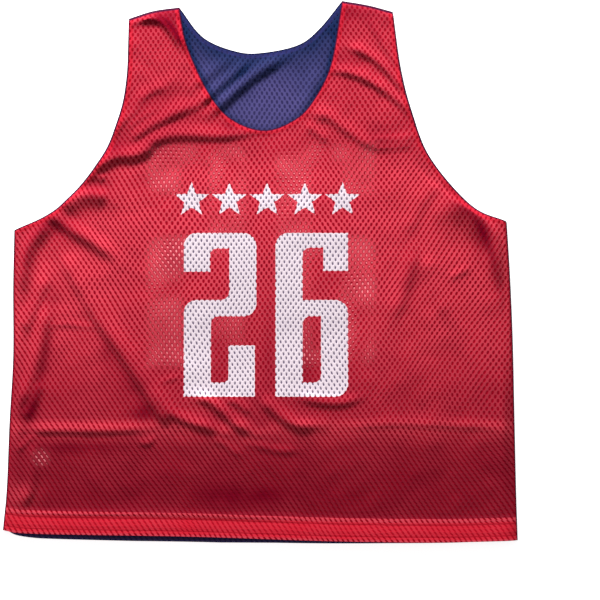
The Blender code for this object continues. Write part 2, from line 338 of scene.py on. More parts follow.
FRONT_CELL, BACK_CELL = 3.2, 3.4  # mm
NAVY_ARMHOLES, BACK_ARMHOLES = (
    (stepped(ARMHOLE_LEFT, steps, OUT_LEFT), stepped(ARMHOLE_RIGHT, steps, OUT_RIGHT))
    for steps in (NAVY_ARMHOLE_STEP, BACK_ARMHOLE_STEP)
)
FRONT = (NECK_FRONT, (ARMHOLE_LEFT, ARMHOLE_RIGHT), HEM_FRONT)
LINING = (NECK_FRONT, NAVY_ARMHOLES, HEM_FRONT)
BACK = (NECK_BACK, BACK_ARMHOLES, stepped(HEM_FRONT, BACK_HEM_DROP, (0, -1)))
front_cut = joined(panel_patches(*FRONT, FRONT_SPLIT, FRONT_CELL))
lining_cut = joined(panel_patches(*LINING, FRONT_SPLIT, FRONT_CELL))
back_cut = joined(panel_patches(*BACK, BACK_SPLIT, BACK_CELL))
print("quads of the front:", len(front_cut[1]), "and of the back:", len(back_cut[1]))

# %% [markdown]
# ## How far from an edge
#
# Much of what cloth does depends on how near an edge is: it turns down at a seam, thickens where
# it is folded under, and creases die out. So the distance to each kind of edge is worked out for
# every point, from the nearest of the straight steps that a curve is made of.

# %% Distances
EDGE_STEPS = 60  # straight steps that stand for a whole edge


def nearest(points, curve):
    """For each point, the distance to a curve, how far along it the nearest place is (0 to 1),
    and the side it lies on: +1 to the left as the curve is walked, -1 to the right."""
    start, step = curve[:-1], np.diff(curve, axis=0)
    rel_x, rel_y = (points[:, None, i] - start[None, :, i] for i in (0, 1))
    part = np.clip((rel_x * step[:, 0] + rel_y * step[:, 1]) / (step**2).sum(1), 0, 1)
    away_x, away_y = rel_x - part * step[:, 0], rel_y - part * step[:, 1]
    squared = away_x**2 + away_y**2
    best = squared.argmin(1)
    row = np.arange(len(points))
    side = step[best, 0] * away_y[row, best] - step[best, 1] * away_x[row, best]
    return np.sqrt(squared[row, best]), (best + part[row, best]) / len(step), np.sign(side)


def distance(points, *curves):
    """The distance from each point to the nearest of some edges."""
    coarse = [along(curve, np.linspace(0, 1, EDGE_STEPS + 1)) for curve in curves]
    return np.min([nearest(points, curve)[0] for curve in coarse], axis=0)


def ease(x):
    """3 x^2 - 2 x^3 between 0 and 1, and flat outside: a rise with no corner at either end."""
    x = np.clip(x, 0, 1)
    return x * x * (3 - 2 * x)


def edges_of(cut, neck, armholes, hem):
    """The distances that a panel's shape and finish read, one value for each point."""
    points = cut[0]
    side = distance(points, SIDE_LEFT, SIDE_RIGHT)
    shoulder = distance(points, SHOULDER_SEAM_LEFT, SHOULDER_SEAM_RIGHT)
    return {
        "side": side,
        "shoulder": shoulder,
        "seam": np.minimum(side, shoulder),
        "opening": distance(points, neck, *armholes),
        "neck": distance(points, neck),
        "hem": distance(points, hem),
    }


front_edges = edges_of(front_cut, *FRONT)
lining_edges = edges_of(lining_cut, *LINING)
back_edges = edges_of(back_cut, *BACK)
print("the middle of the front is", round(front_edges["seam"].max()), "mm from a seam")

# %% [markdown]
# ## Creases
#
# The cloth was straightened by hand, and the pulls from neck, straps and armholes stayed in it.
# Each crease is a ridge over a curved line, with its own breadth to either side: where one side is
# steep, it falls into shade. The table holds one row for each crease, from the left to the right.

# %% The creases of the front
CREASES = [  # the path in mm, then the height and the breadth to the left and right of the walk
    # the left shoulder
    ([(-166, 325), (-148, 329), (-131, 326), (-116, 310), (-104, 289)], 3.8, 5, 4),
    ([(-131, 337), (-116, 321), (-104, 303), (-95, 284)], 3.4, 3, 2.8),
    ([(-118, 335), (-106, 316), (-96, 294)], 3.0, 3, 2.8),
    # pulls across the left strap
    ([(-169, 207), (-147, 231), (-122, 242)], 2, 9, 5),
    ([(-196, 171), (-181, 192), (-162, 208), (-142, 219)], 1.6, 7, 4.5),
    ([(-176, 182), (-153, 202), (-126, 214)], 1.6, 6, 4),
    ([(-172, 169), (-155, 180), (-134, 193), (-108, 206), (-74, 221)], 3.6, 11, 4.5),
    # sweeps from the left armhole over the chest
    ([(-222, 122), (-208, 138), (-188, 149), (-165, 151), (-148, 158), (-138, 168)], 5.4, 12, 6),
    ([(-157, 155), (-140, 168), (-117, 176), (-82, 177), (-42, 177), (6, 185)], 3.8, 12, 4.5),
    # dents and arches about the left armpit
    ([(-262, 79), (-240, 96), (-216, 101), (-195, 94)], 5.6, 7, 13),
    ([(-226, 125), (-213, 125), (-200, 120)], 2.5, 5, 5),
    ([(-312, -32), (-309, 6), (-300, 33), (-288, 50), (-272, 67)], 6.2, 8, 10),
    ([(-292, 54), (-271, 70), (-252, 59), (-230, 46), (-204, 29), (-184, 10)], 4.4, 10, 8),
    # the long diagonal from there to the waist
    ([(-264, 34), (-235, -20), (-207, -67), (-178, -106)], 3.4, 18, 8),
    ([(-209, -62), (-178, -106), (-151, -148), (-129, -182), (-112, -198)], 5.2, 16, 8),
    # folds and a pleat at the left side
    ([(-276, -3), (-286, -29), (-299, -58), (-308, -80)], 3, 7, 12),
    ([(-277, -34), (-283, -72), (-291, -112), (-303, -152), (-316, -182)], 5.2, 9, 9),
    ([(-284, -140), (-295, -166), (-307, -193)], 3.4, 7, 8),
    ([(-295, -215), (-295, -249), (-298, -280), (-309, -304)], 3.5, 6, 9),
    # the left of the waist
    ([(-311, -205), (-261, -205), (-196, -205), (-139, -202)], 2.2, 8, 4.2),
    ([(-316, -232), (-304, -221), (-291, -209)], 1.6, 4, 4),
    ([(-159, -219), (-146, -222), (-138, -213)], 1.6, 3.5, 3.5),
    # short lines across the diagonal
    ([(-282, -70), (-248, -68), (-212, -72)], 1, 4, 3),
    ([(-138, -148), (-124, -141), (-105, -136)], 1.3, 4, 3),
    # waves and streaks below the number
    ([(-143, -137), (-131, -163), (-116, -182), (-92, -193), (-69, -200), (-51, -208)], 4.6, 8, 7),
    ([(-87, -163), (-68, -166), (-51, -179), (-32, -196), (-6, -211)], 4.6, 8, 6),
    ([(-47, -165), (-30, -170), (-12, -184)], 2.3, 6, 5),
    ([(-1, -161), (13, -175), (30, -189), (51, -198), (82, -197)], 4.6, 9, 7),
    ([(48, -162), (74, -167), (105, -169), (134, -161)], 3.2, 7, 6),
    ([(-61, -214), (-43, -226), (-25, -239)], 1.5, 5, 5),
    ([(-14, -222), (18, -230), (53, -232)], 1.5, 5, 5),
    # the right of the waist
    ([(100, -200), (176, -196), (246, -198), (318, -202)], 1.6, 10, 5),
    # the right shoulder and strap
    ([(131, 335), (156, 299), (181, 263)], 1.6, 5, 4),
    ([(109, 294), (130, 286), (152, 272), (172, 251), (187, 228)], 3.5, 8, 4.2),
    ([(88, 263), (108, 260), (130, 253), (156, 238), (182, 218), (195, 199)], 3.6, 9, 4.2),
    # pulls from the neck, and the edge of the chest, on the right
    ([(62, 206), (87, 201), (110, 185), (134, 169), (156, 160)], 3.2, 9, 5),
    ([(57, 192), (72, 182), (88, 169)], 2.2, 6, 4),
    ([(142, 172), (170, 171), (203, 175)], 2.6, 6, 3.2),
    ([(142, 163), (170, 163), (198, 166)], 2.2, 3.2, 4),
    # the right armpit and side
    ([(230, 109), (252, 90), (274, 77), (294, 62), (307, 40), (313, 10), (315, -30)], 8.0, 5, 25),
    ([(246, -9), (257, -2), (272, 6)], 1.6, 6, 4),
    ([(233, 115), (208, 88), (187, 47)], 1.8, 9, 14),
    ([(212, 24), (224, -16), (240, -62)], 2.6, 10, 7),
    ([(200, 29), (188, -16), (172, -62)], 2.2, 8, 12),
    # above the hem
    ([(-326, -314), (-144, -313), (51, -319)], 1.2, 8, 4),
]
CREASE_END = 0.25  # part of a crease's height that is left at its two ends
CREASE_TAPER = 0.22  # part of its length over which it sinks to that
CREASE_REACH = 3  # breadths to either side, beyond which it is left out


def crease_height(points, path, height, left, right):
    """height x taper x exp(-(distance / breadth)^2), where the distance is to a smooth curve
    along the path, and the breadth is that of the side a point is on."""
    curve = smooth_curve(path, 8)
    reach = CREASE_REACH * max(left, right)
    near = np.all((points > curve.min(0) - reach) & (points < curve.max(0) + reach), axis=1)
    far, place, side = nearest(points[near], curve)
    taper = CREASE_END + (1 - CREASE_END) * ease(place / CREASE_TAPER) * ease((1 - place) / CREASE_TAPER)
    rise = np.zeros(len(points))
    rise[near] = height * taper * np.exp(-((far / np.where(side > 0, left, right)) ** 2))
    return rise


def together(points, table):
    """The root of the sum of all creases' squares, so that two that cross join softly."""
    return np.sqrt(sum(crease_height(points, *row) ** 2 for row in table))


print(len(CREASES), "creases, the highest", max(row[1] for row in CREASES), "mm")

# %% [markdown]
# ## The form under the creases
#
# Between creases the cloth isn't flat. It lies loosely over the back, sinks in one long slope
# from the waist to the hem, and never lies quite smooth, but for the place where print stiffens
# it. The hem is stiff too, because it is folded double: it kicks up a little, and catches the light.

# %% The form of the front
LOFT, LOFT_REACH = 2.0, 150.0  # mm; how high the middle floats, and how far from an edge
WAIST_Y = -204.0  # mm, where the long slope to the hem starts
WAIST_RISE, WAIST_UP, WAIST_DOWN = 5.0, 130.0, 104.0  # mm; its height, and its length to each side
HEM_DEPTH = 30.0  # mm of hem that is folded up
HEM_KICK = 2.2  # mm that the hem's edge stands up
PRINTED = (6, -55, 110, 105)  # mm, the middle and the reach of the number
PRINT_STIFF = 0.75  # part of the ripples that the print takes away
RIPPLES = ((60, 1, 0.55), (26, 2, 0.28), (13, 3, 0.08))  # the wavelength in mm, a seed and the share
RIPPLE_RISE, HEM_RIPPLE = 0.7, 0.35  # mm, and the part of them that is left in the hem
CREASE_FADE = {"side": 13.0, "shoulder": 6.0}  # mm from a seam over which creases die out
ROLL = 5.0  # mm over which the red front turns down to the red back at a seam


def ripple(points, wavelength, seed, waves=14):
    """A sum of sine waves of about one wavelength, in random directions and phases, scaled to
    swing between about -1 and 1: the unevenness that every piece of cloth has."""
    rng = np.random.default_rng(seed)
    angle, phase = rng.uniform(0, np.pi, waves), rng.uniform(0, 2 * np.pi, waves)
    length = wavelength * rng.uniform(0.75, 1.35, waves)
    k = 2 * np.pi / length * np.array([np.cos(angle), np.sin(angle)])
    return np.sin(points @ k + phase).sum(1) / np.sqrt(2.0 * waves)


def front_rise(cut, edges):
    """Loft + (waist + creases + ripples + kick) x a fade to 0 at the seams, in mm above the lowest
    place. The waist's slope eases out upwards and is straight downwards."""
    points = cut[0]
    x, y, across, up = PRINTED
    printed = np.exp(-(((points[:, 0] - x) / across) ** 4) - ((points[:, 1] - y) / up) ** 4)
    fades = [ease((edges[seam] - 0.6 * ROLL) / reach) for seam, reach in CREASE_FADE.items()]
    inside = np.prod(fades, axis=0)
    loft = LOFT * ease(np.minimum(edges["seam"], edges["neck"]) / LOFT_REACH)
    above = points[:, 1] - WAIST_Y
    slope_up, slope_down = 1 - ease(above / WAIST_UP), np.clip(1 + above / WAIST_DOWN, 0, 1)
    waist = WAIST_RISE * np.where(above > 0, slope_up, slope_down)
    creases = together(points, CREASES)
    stiff = HEM_RIPPLE + (1 - HEM_RIPPLE) * ease((edges["hem"] - HEM_DEPTH) / 12)
    ripples = sum(share * ripple(points, length, seed) for length, seed, share in RIPPLES)
    ripples = RIPPLE_RISE * (ripples * (1 - PRINT_STIFF * printed) + 1) * stiff
    kick = HEM_KICK * ease(1 - edges["hem"] / HEM_DEPTH)
    return (waist + creases + ripples) * inside + loft + kick * inside


# %% [markdown]
# ## The inside of the back
#
# The scoop of the neck shows the inside of the back, in navy. It has its own pulls, which run
# from the front's neckline up to the right. The front lies on them, so their height is added to
# every layer above.

# %% The form of the back
BACK_CREASES = [  # as for the front
    ([(-68, 202), (-30, 237), (-4, 258), (36, 282)], 5.0, 10, 4.0),
    ([(-82, 214), (-43, 250), (-14, 274)], 4.2, 9, 3.8),
    ([(52, 214), (66, 238), (72, 268)], 1.6, 8, 8),
    ([(-88, 240), (-66, 258), (-34, 280)], 2.6, 8, 7),
]


def back_rise(points):
    """The pulls of the back panel, fading out at its own neckline and below the scoop."""
    scoop = ease((points[:, 1] - 185) / 25) * ease(distance(points, NECK_BACK) / 14)
    return together(points, BACK_CREASES) * scoop + 0.25 * (1 + ripple(points, 30, 5)) * scoop


back_pulls = back_rise(back_cut[0])
print("the back's pulls rise to", round(back_pulls.max(), 1), "mm")

# %% [markdown]
# ## Four sheets on each other
#
# A panel is two copies of its surface, one thickness apart, with a wall round every edge. Lifting
# straight up by fixed steps keeps the sheets from cutting through each other, because each one
# takes over the form of the one below. At side and shoulder seams the red front turns down to the
# red back, and the navy panels end just inside that turn.

# %% Heights of the sheets
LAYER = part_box("back_navy_panel")[0].z / MM  # rise from one panel to the next
CLOTH = 0.6  # mm of knit
HEM_EXTRA = 0.7  # mm more where the hem is folded double
STITCH_LINES = (22.2, 6.8)  # mm above the edge of the hem, where two rows of stitches pull it in
STITCH_DIP, STITCH_WIDTH = 0.6, 1.6  # mm
EDGE_DROP, EDGE_PUFF = 0.45, 0.35  # mm that a turned edge rounds down, and swells just inside it


def band(distance_in, depth, softness):
    """1 within a depth of an edge, 0 beyond it, with a smooth step between."""
    return 1 - ease((distance_in - depth) / softness + 0.5)


def front_height(form, edges):
    """Three layers up plus the form that both front panels share, turned down to one layer at the
    seams, and rounded at neck and armholes by a drop at the very edge and a swelling 3 mm in."""
    raised = 3 * LAYER + form
    down = 1 - ease(edges["seam"] / ROLL)
    edge = edges["opening"]
    rounded = EDGE_PUFF * np.exp(-(((edge - 3.2) / 2.0) ** 2)) - EDGE_DROP * (1 - ease(edge / 2.4))
    return raised * (1 - down) + LAYER * down + rounded * (1 - down)


def front_thickness(edges):
    """One cloth, more in the folded hem, and less where its two rows of stitches pull it in."""
    in_hem = band(edges["hem"], HEM_DEPTH, 3)
    dips = sum(np.exp(-(((edges["hem"] - line) / STITCH_WIDTH) ** 2)) for line in STITCH_LINES)
    return CLOTH + HEM_EXTRA * in_hem - STITCH_DIP * dips * in_hem


front_form = front_rise(front_cut, front_edges) + back_rise(front_cut[0])
red_low = front_height(front_form, front_edges)
lining_low = 2 * LAYER + front_form
navy_low = LAYER + back_pulls
print("the front lies from", round(red_low.min(), 1), "to", round(red_low.max(), 1), "mm up")

# %% [markdown]
# ## Painted shading, and the lean of the knit
#
# Red mesh on navy looks deep where it lies close on the layer below, and pale where it is lifted
# Each point gets a painted shading, 1 where the cloth is palest: painted light and shade put into
# the dye by a table by height, then soft round patches, then lines along the folds. Inside the
# neck, painted shadow lies below the front's edge and along the back's own edges, and the foot
# of the scoop is painted paler.
# The knit's slits lean over. They lean most where the cloth hangs slack, above the hem, and to
# either side of the number, where the armpits pull the cloth askew.

# %% Painted shading and lean
PAINTED_SHADING_BY_HEIGHT = [  # (y in mm, painted shading, 1 where the cloth is at its palest: painted shade below the waist and on the straps, a painted highlight on the waist's crest)
    (-300, 0.24), (-265, 0.23), (-228, 0.32), (-213, 0.57), (-205, 0.80), (-196, 0.80), (-188, 0.48),
    (-150, 0.47), (-111, 0.65), (-70, 0.82), (0, 0.93), (130, 0.93), (160, 0.66), (290, 0.62), (330, 0.56),
]
PAINTED_SHADING_PATCHES = [  # painted shade and light: the middle and the reach of each patch in mm, across and up, then the change of painted shading
    # the left strap, armhole and armpit
    (-122, 335, 34, 15, -0.42), (-131, 200, 62, 45, -0.24), (-196, 160, 28, 18, -0.46),
    (-216, 110, 26, 20, -0.52), (-268, 60, 34, 22, -0.60), (-303, 20, 12, 34, -0.22),
    # the left side, as far as the number
    (-322, 8, 10, 40, -0.26), (-319, -72, 9, 34, 0.25), (-279, -100, 9, 40, -0.12),
    (-272, -33, 11, 14, -0.28), (-302, -180, 12, 26, -0.28), (-170, -101, 22, 110, -0.12),
    (-201, -104, 10, 32, -0.20),
    # beside, behind and inside the figures
    (-144, 117, 32, 15, -0.28), (-131, 160, 18, 14, -0.20), (-118, -90, 16, 36, -0.16),
    (-112, 14, 18, 28, -0.42), (-138, -18, 24, 12, -0.14), (116, -10, 16, 18, -0.16),
    (30, -50, 62, 110, -0.16), (56, -112, 14, 30, -0.25), (84, -6, 14, 16, -0.16),
    (-52, -100, 16, 34, -0.18), (10, -90, 9, 60, -0.16),
    # the neck, the inside of the back, the right strap and the right side
    (116, 338, 45, 14, -0.26), (96, 334, 12, 28, -0.40), (-40, 191, 14, 8, -0.35),
    (16, 230, 34, 28, 0.40), (-26, 262, 34, 17, -0.22), (106, 277, 33, 16, -0.24),
    (152, 177, 26, 14, -0.25), (264, 86, 24, 22, -0.62), (254, 115, 17, 12, -0.56),
    (287, 47, 14, 28, -0.62), (288, -18, 12, 20, 0.10), (303, 14, 8, 26, -0.30),
    (196, 3, 16, 42, -0.18),
    # the troughs and crests of the waist, and the hem
    (-236, -226, 50, 8, -0.22), (-152, -183, 15, 14, -0.32), (-72, -165, 20, 10, 0.48),
    (-61, -197, 14, 7, -0.34), (-4, -197, 18, 7, -0.38), (-16, -214, 12, 7, 0.24),
    (-61, -229, 22, 9, 0.18), (-196, -246, 50, 14, 0.06), (-14, -289, 90, 14, -0.18),
    (-314, -290, 24, 18, 0.50),
]
SHADE_LINES = [  # painted shade along the folds: the path in mm, then the change of painted shading and the breadth to the left and right
    # the left shoulder
    ([(-154, 326), (-136, 326), (-122, 317), (-112, 307), (-103, 293)], -0.30, 3, 3),
    ([(-134, 333), (-124, 324), (-117, 317), (-108, 304), (-100, 291)], -0.72, 3.0, 3.0),
    ([(-123, 330), (-114, 319), (-105, 307), (-98, 295)], -0.56, 2.4, 2.4),
    # the right strap
    ([(136, 332), (151, 309), (161, 297)], -0.25, 4, 4),
    # the inside of the back
    ([(-61, 229), (-36, 250), (-12, 271)], -0.45, 4, 4),
    ([(-48, 216), (-12, 246), (38, 279)], -0.45, 4, 4),
    # the left armpit, the left side and the long diagonal
    ([(-272, 68), (-294, 46), (-303, 19), (-306, -10)], -0.28, 8, 8),
    ([(-272, 66), (-246, 50), (-206, 22)], -0.18, 6, 7),
    ([(-273, -60), (-281, -110), (-290, -160), (-301, -195)], -0.28, 6, 6),
    ([(-216, -68), (-180, -124), (-154, -165), (-135, -192)], -0.10, 5, 10),
    # the right armpit and side
    ([(259, 86), (276, 70), (289, 50), (298, 26), (304, 4), (309, -20), (311, -40)], -0.34, 6, 6),
    ([(202, 24), (189, -23), (180, -46)], -0.14, 10, 10),
]
SLACK = [(-300, 1.0), (-225, 1.0), (-190, 0.45), (-160, 0.12), (-60, 0.0)]  # (y in mm, 1 where loose)
LEAN = (0.05, 0.75)  # sideways for each step up of a hole, where the cloth is taut and where slack
SIDE_LEAN = 0.34  # the same to either side of the number
SIDE_FROM, SIDE_FULL = 90, 200  # mm from the middle, where that begins and where it is in full
STRAPS_FROM, STRAPS_FULL = 170, 230  # mm, the height where it begins to fade, and where it is gone
LEAN_RIPPLE, LEAN_LENGTH = 0.18, 75  # unevenness of the lean, and over what length in mm
FRONT_SHADE = (0.6, 5)  # painted shadow of the front's neckline on the inner back: shading taken off, and mm over which that fades
BACK_SHADE = (0.55, 22)  # the same painted shade at the back's own neckline and armholes
SCOOP_PAINTED_LIGHT, SCOOP_Y = 0.34, (196, 236)  # painted light: shading added at the foot of the scoop, gone at its second y


def slack_of(flat):
    """The slack at a height, from its table."""
    return np.interp(flat[:, 1], *zip(*SLACK))


def lean_of(flat):
    """The lean of taut cloth, going over into that of slack cloth. Where it is taut, SIDE_LEAN is
    taken off on the right and added on the left, so that the holes lean outwards as they go down."""
    x, y = flat.T
    slack = slack_of(flat)
    askew = np.sign(x) * ease((abs(x) - SIDE_FROM) / (SIDE_FULL - SIDE_FROM)) * (1 - slack)
    askew = askew * ease((STRAPS_FULL - y) / (STRAPS_FULL - STRAPS_FROM))
    uneven = LEAN_RIPPLE * ripple(flat, LEAN_LENGTH, 21)
    return LEAN[0] + slack * (LEAN[1] - LEAN[0]) - SIDE_LEAN * askew + uneven


def painted_shading_of(flat):
    """The painted shading at a height, plus change x exp(-(across / reach)^2 - (up / reach)^2) of the
    painted patches, plus the painted shade lines, which are worked out as creases are."""
    x, y = flat.T
    painted_shading = np.interp(y, *zip(*PAINTED_SHADING_BY_HEIGHT))
    for middle_x, middle_y, across, up, change in PAINTED_SHADING_PATCHES:
        painted_shading += change * np.exp(-(((x - middle_x) / across) ** 2) - ((y - middle_y) / up) ** 2)
    return np.clip(painted_shading + sum(crease_height(flat, *row) for row in SHADE_LINES), 0, 1)


def neck_shade(flat, own_edge):
    """Painted shade inside the neck: the sum of shading taken off x exp(-(distance / fade)^2) for both
    edges, less the painted light at the scoop's paler foot.
    """
    shade = FRONT_SHADE[0] * np.exp(-((distance(flat, NECK_FRONT) / FRONT_SHADE[1]) ** 2))
    shade += BACK_SHADE[0] * np.exp(-((own_edge / BACK_SHADE[1]) ** 2))
    return shade - np.interp(flat[:, 1], SCOOP_Y, (SCOOP_PAINTED_LIGHT, 0.0))


print("tone of the front, from", *np.round(np.percentile(painted_shading_of(front_cut[0]), (1, 99)), 2))

# %% [markdown]
# ## Writing a sheet
#
# The mesh is written as whole arrays. It carries what its finish will read: the flat cut in
# millimetres as one UV map, for print, the same turned and slightly warped as another, for the
# knit, and its edges' distances, painted shading, slack, lean and the side that faces up as attributes.

# %% Sheets
# each knit's turn in degrees, and the seed of its warp
KNITS = {"red_front": (0.6, 11), "navy_front": (-2.2, 12), "navy_back": (1.5, 13), "red_back": (-1.0, 14)}
WARP, WARP_LENGTH = 2.5, 170  # mm that a knit strays from square, and over what length
FRONT_INSET, BACK_INSET = 4.0, 2.5  # mm inside the seams, where the navy panels end
SHARP = 60.0  # degrees, the bend above which an edge isn't shaded smooth


def knit_map(flat, turn, seed):
    """The cut turned by an angle, plus WARP x a ripple, as cloth is never quite square."""
    angle = np.radians(turn)
    turned = flat @ np.array([[np.cos(angle), np.sin(angle)], [-np.sin(angle), np.cos(angle)]])
    stray = [ripple(flat, WARP_LENGTH, seed), ripple(flat, WARP_LENGTH, seed + 50)]
    return turned + WARP * np.column_stack(stray)


def shell(name, cut, low, thickness, edges, under=None, keep=0.0, shade=0.0):
    """A closed sheet: top = low + thickness, bottom = low, and a wall along each edge that only
    one quad uses. Quads nearer than `keep` mm to a seam are left out. `under` names the sheet
    whose holes show through its own. `shade`, a painted shade, is taken off its painted shading."""
    points, quads = cut
    quads = quads[edges["seam"][quads].min(1) >= keep]
    used, quads = np.unique(quads, return_inverse=True)
    quads = quads.reshape(-1, 4)
    low, thickness, shade = (np.broadcast_to(part, len(points))[used] for part in (low, thickness, shade))
    flat, count = points[used], len(used)

    top = np.column_stack([flat, low + thickness])
    bottom = np.column_stack([flat, low])
    steps = np.stack([quads, np.roll(quads, -1, axis=1)], -1).reshape(-1, 2)
    code = steps[:, 0] * count + steps[:, 1]
    rim = steps[~np.isin(code, steps[:, 1] * count + steps[:, 0])]
    wall = np.column_stack([rim[:, 1], rim[:, 0], rim[:, 0] + count, rim[:, 1] + count])
    faces = np.vstack([quads, quads[:, ::-1] + count, wall])
    made = link_mesh(name, np.vstack([top, bottom]) * MM, faces.tolist())

    mesh, corners = made.data, faces.reshape(-1)
    maps = {"cut": flat, "knit": knit_map(flat, *KNITS[name])}
    if under:
        maps["knit below"] = knit_map(flat, *KNITS[under])
    for label, uv in maps.items():
        layer = mesh.uv_layers.new(name=label)
        layer.uv.foreach_set("vector", np.vstack([uv, uv])[corners].astype(np.float32).ravel())
    values = {label: edges[label][used] for label in ("opening", "seam", "shoulder", "hem")}
    # the painted shading, less any painted shade inside the neck
    values |= {"painted_shading": painted_shading_of(flat) - shade, "slack": slack_of(flat), "lean": lean_of(flat)}
    values = {label: np.tile(value, 2) for label, value in values.items()}
    values["up"] = np.repeat([1.0, 0.0], count)
    for label, value in values.items():
        layer = mesh.attributes.new(label, "FLOAT", "POINT")
        layer.data.foreach_set("value", value.astype(np.float32))
    mesh.shade_smooth()
    mesh.set_sharp_from_angle(angle=np.radians(SHARP))
    print(name, "has", 2 * len(faces), "triangles")
    return made


# painted shade inside the neck, for the inner back
shade = neck_shade(back_cut[0], back_edges["opening"])
thickness = front_thickness(front_edges)
red_front = shell("red_front", front_cut, red_low, thickness, front_edges, under="navy_front")
navy_front = shell("navy_front", lining_cut, lining_low, CLOTH, lining_edges, keep=FRONT_INSET)
navy_back = shell("navy_back", back_cut, navy_low, CLOTH, back_edges, keep=BACK_INSET, shade=shade)
red_back = shell("red_back", back_cut, 0.0, CLOTH, back_edges)

# %% [markdown]
# ## Shader maths that reads as maths
#
# A knit full of holes, with numbers printed on it, is easiest to say as a formula of the flat
# cut. A small class wraps a socket, so that Python's own operators add the Math nodes.

# %% Sockets as values
def operator(operation, flip=False):
    """A method that adds one Math node, which reads the wire and then the other value, or the other
    way round if `flip`."""

    def method(*values):
        return values[0].math(operation, *(values[::-1] if flip else values))

    return method


class Wire:
    """A number or a colour on its way through a material. An operator adds one Math node."""

    __add__ = __radd__ = operator("ADD")
    __mul__ = __rmul__ = operator("MULTIPLY")
    __sub__, __rsub__ = operator("SUBTRACT"), operator("SUBTRACT", flip=True)
    __truediv__, __abs__ = operator("DIVIDE"), operator("ABSOLUTE")
    max, min = operator("MAXIMUM"), operator("MINIMUM")
    fraction, floor, root = operator("FRACT"), operator("FLOOR"), operator("SQRT")
    sine, cosine = operator("SINE"), operator("COSINE")

    def __init__(self, tree, end):
        self.tree, self.end = tree, end

    def math(self, operation, *values):
        """The result of one Math node that reads these values in order."""
        return add(self.tree, "Math", {"operation": operation}, dict(enumerate(values)))


def add(tree, kind, settings=None, inputs=None, output=0):
    """Adds a shader node of a kind, gives it its settings, then a value or a link to each socket
    named, and returns one of its outputs."""
    node = tree.nodes.new("ShaderNode" + kind)
    for name, value in (settings or {}).items():
        setattr(node, name, value)
    for key, value in (inputs or {}).items():
        if isinstance(value, Wire):
            tree.links.new(value.end, node.inputs[key])
        else:
            node.inputs[key].default_value = value
    return Wire(tree, node.outputs[output])


def rise(value, low, high):
    """0 below low, 1 above high, and a smooth step between."""
    smooth = {"interpolation_type": "SMOOTHSTEP"}
    return add(value.tree, "MapRange", smooth, {0: value, 1: low, 2: high})


def between(factor, ends):
    """A number that goes from one end to the other as the factor goes from 0 to 1."""
    return factor * (ends[1] - ends[0]) + ends[0]


def mix(factor, a, b):
    """Colour a where the factor is 0, colour b where it is 1."""
    return add(factor.tree, "Mix", {"data_type": "RGBA"}, {0: factor, 6: a, 7: b}, output=2)


def map_of(tree, name):
    """The two coordinates of a UV map, in mm."""
    uv = add(tree, "UVMap", {"uv_map": name})
    split = add(tree, "SeparateXYZ", inputs={0: uv})
    return split, Wire(tree, split.end.node.outputs[1])


def attribute(tree, name):
    """The value that the mesh carries under a name."""
    return add(tree, "Attribute", {"attribute_name": name}, output=2)


# %% [markdown]
# ## Numbers in block figures
#
# The figures are built from upright boxes, as a sign painter builds them from strokes. The signed
# distance to a box is below 0 inside it. The smaller of two distances joins their shapes, and the
# larger of one and the other's opposite cuts the second from the first.

# %% Block figures
FIGURE_WIDTH, FIGURE_HEIGHT, FIGURE_GAP = 94.0, 212.0, 25.0  # mm
STEM, BAR = 34.0, 20.0  # mm, the upright and the level strokes
INNER = 59.0  # mm, where the stem on the right begins
WAIST_LOW, WAIST_HIGH = 104.0, 125.0  # mm, the level stroke in the middle
CORNER = 17.0  # mm, the radius of the rounded outer corners
ARM, FOOT = 50.0, 66.0  # mm that an arm hangs down from the top, and that the foot of the two is high
OVER = 9.0  # mm by which a cut reaches past the figure


def box(x, y, left, right, low, high, top_left=0.0, top_right=0.0, low_left=0.0, low_right=0.0):
    """Step past the sides: |x - middle| - half width, and the same in y. A corner of radius r is
    the length of the step past a box that is smaller by r, less r, and r is picked by side."""
    x, y = x - (left + right) / 2, y - (low + high) / 2
    over_x, over_y = abs(x) - (right - left) / 2, abs(y) - (high - low) / 2
    if not any((top_left, top_right, low_left, low_right)):
        return over_x.max(over_y)
    at_right, at_top = x.math("GREATER_THAN", x, 0.0), y.math("GREATER_THAN", y, 0.0)
    above, below = between(at_right, (top_left, top_right)), between(at_right, (low_left, low_right))
    radius = below + (above - below) * at_top
    over_x, over_y = over_x + radius, over_y + radius
    out_x, out_y = over_x.max(0.0), over_y.max(0.0)
    return (out_x * out_x + out_y * out_y).root() + over_x.max(over_y).min(0.0) - radius


def cut_out(shape, *holes):
    """A shape without some others."""
    for hole in holes:
        shape = shape.max(0 - hole)
    return shape


def two(x, y):
    """A hook from the top left round to the waist, over a block with a foot at its lower right."""
    w, h = FIGURE_WIDTH, FIGURE_HEIGHT
    hook = cut_out(
        box(x, y, 0, w, WAIST_LOW, h, CORNER, CORNER, 0, CORNER),
        box(x, y, STEM, INNER, WAIST_HIGH + 10, h - BAR, top_left=9.0),
        box(x, y, 20, INNER, WAIST_HIGH, h - ARM, low_right=11.0),
        box(x, y, -OVER, 30, 90, h - ARM),
    )
    block = cut_out(
        box(x, y, 0, w - 2, 0, WAIST_HIGH, top_left=CORNER),
        box(x, y, STEM + 1, INNER - 1, BAR - 2, WAIST_LOW, top_left=10.0, low_right=8.0),
        box(x, y, STEM + 12, w + OVER, FOOT, WAIST_HIGH + OVER),
    )
    return hook.min(block)


